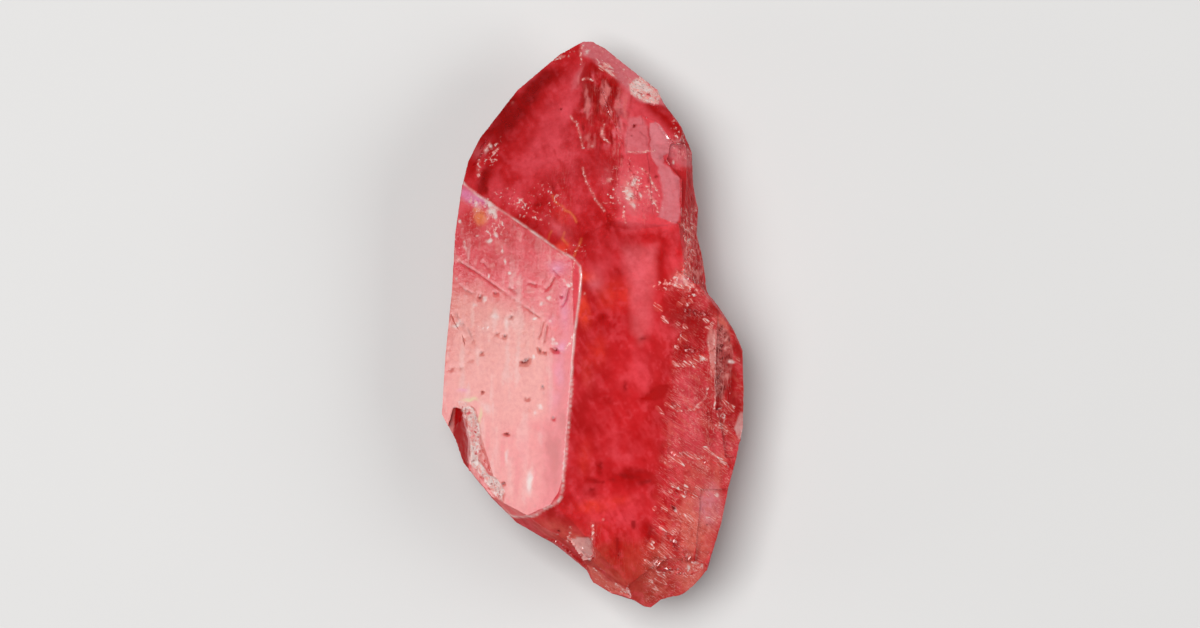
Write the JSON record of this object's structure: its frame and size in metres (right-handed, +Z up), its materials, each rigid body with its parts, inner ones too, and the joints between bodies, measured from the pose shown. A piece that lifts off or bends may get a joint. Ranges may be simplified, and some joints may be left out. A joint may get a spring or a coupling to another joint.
{
  "type": "rough pyroxmangite crystal",
  "caption": "Rough, see-through red gem crystal with flat prism faces, a slanted grown tip, a broken foot and a stepped, torn right side, lying on a flat cleavage.",
  "frame": {"origin": "middle of the crystal's box, on the flat cleavage that it lies on", "axes": "+Y towards the grown tip, +Z up through the corner where the large front faces meet, +X towards the wide right shoulder"},
  "size_m": [0.0128, 0.024, 0.0082],
  "materials": {
    "crystal": "natural glassy crystal faces, cloudy red inside, torn and frosted on the broken sides"
  },
  "bodies": {
    "root": {"crystal": "crystal"}
  },
  "joints": []
}
